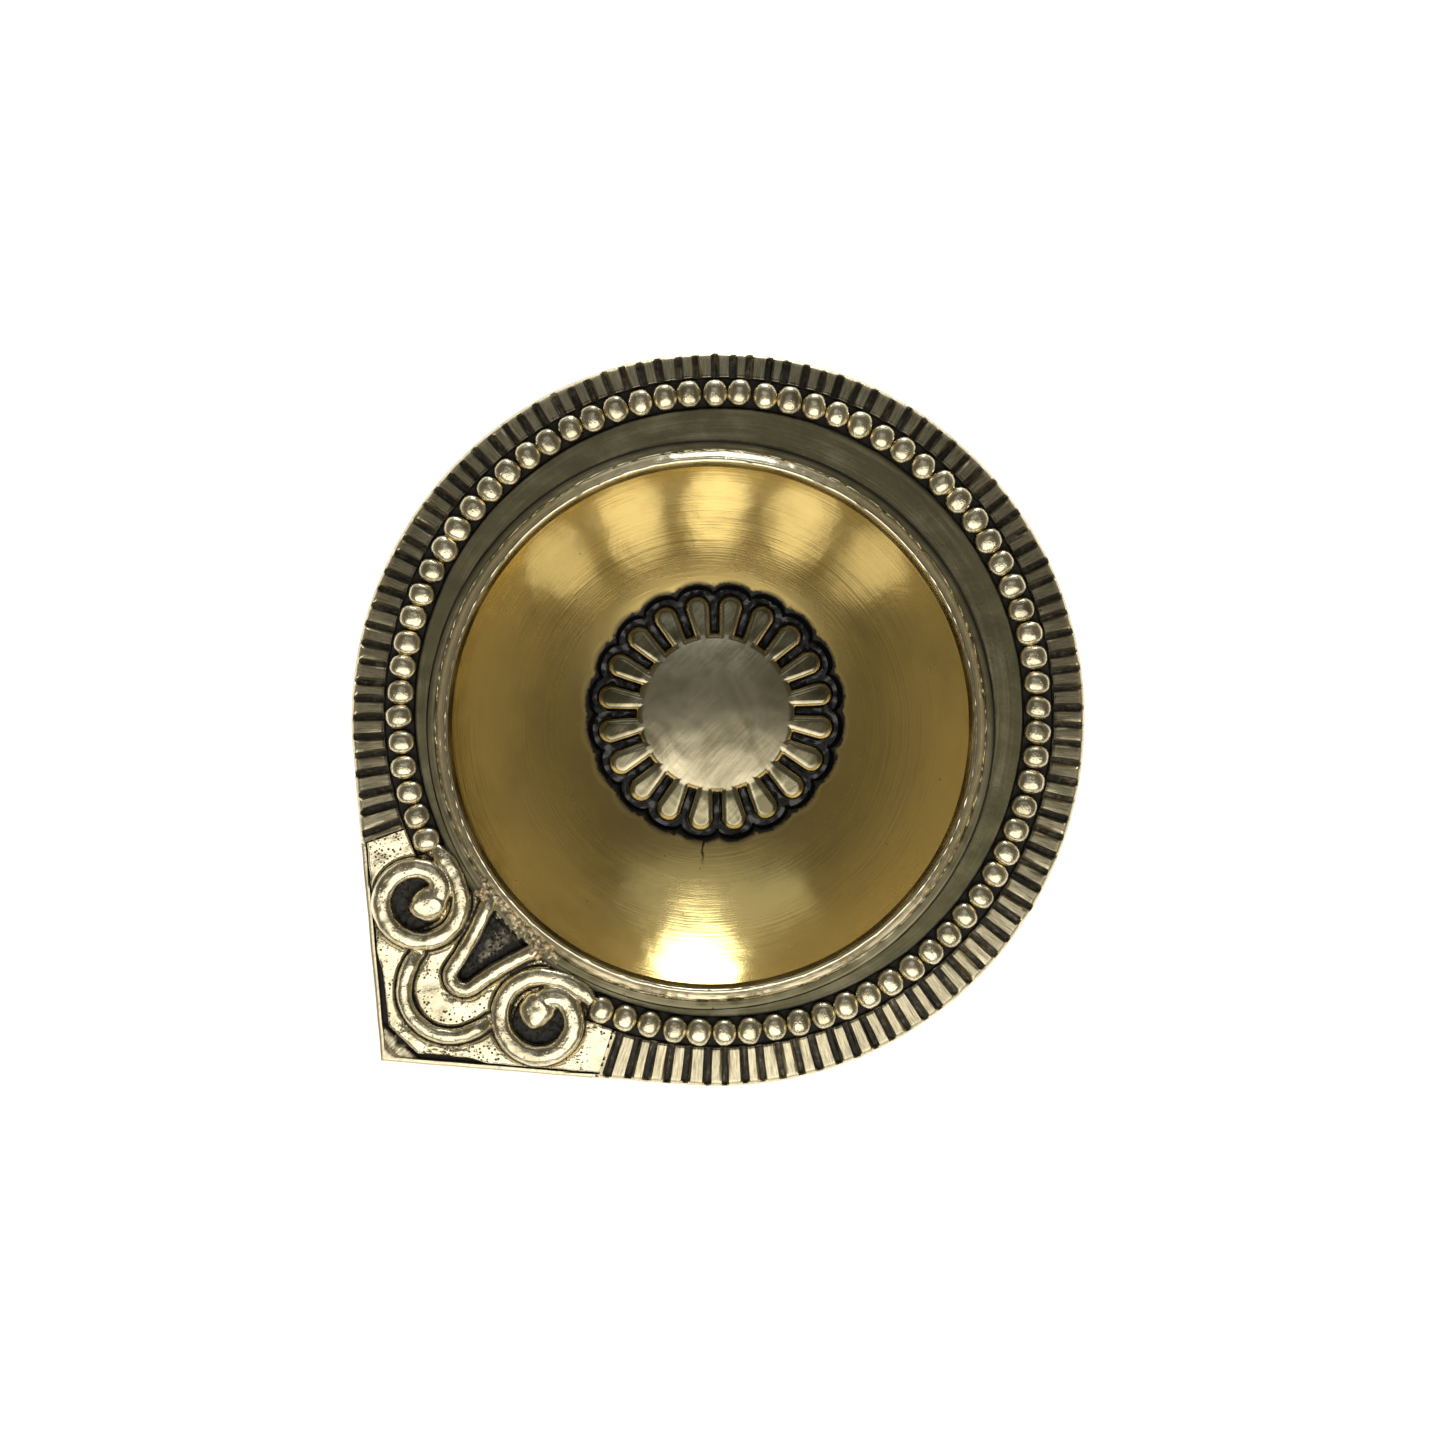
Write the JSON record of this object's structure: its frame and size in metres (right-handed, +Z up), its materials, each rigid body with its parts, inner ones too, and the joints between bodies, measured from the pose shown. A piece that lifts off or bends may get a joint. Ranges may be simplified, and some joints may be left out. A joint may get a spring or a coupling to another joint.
{
  "type": "diya oil lamp",
  "caption": "Brass diya oil lamp: turned bowl in a teardrop rim with beads, flutes and scrolls, a rosette riveted through the bowl, and a ring foot.",
  "frame": {"origin": "centre of the foot's rest face, on the lamp's axis", "axes": "+Z up, the spout points to -Y, and the scrolls mirror each other across X = 0"},
  "size_m": [0.076, 0.0877, 0.0259],
  "materials": {
    "aged_brass": "cast brass, darkened in its hollows",
    "bright_brass": "cast brass, rubbed bright on its crowns",
    "pitted_brass": "cast brass, pitted and rubbed bright",
    "polished_brass": "turned and polished, with fine turning marks",
    "rosette_brass": "cast brass, brushed on top",
    "brazing": "coppery brazing alloy, rough",
    "black_lac": "black lac, glossy and uneven"
  },
  "bodies": {
    "root": {"rim_casting": "aged_brass", "bead_row": "bright_brass", "spout_plate": "pitted_brass", "scroll_left": "bright_brass", "scroll_right": "bright_brass", "wick_channel_cord": "bright_brass", "spout_cord": "bright_brass", "bowl": "polished_brass", "lip_solder": "brazing", "rosette": "rosette_brass", "rosette_lac": "black_lac", "foot": "aged_brass", "rivet_washer": "aged_brass"}
  },
  "joints": []
}
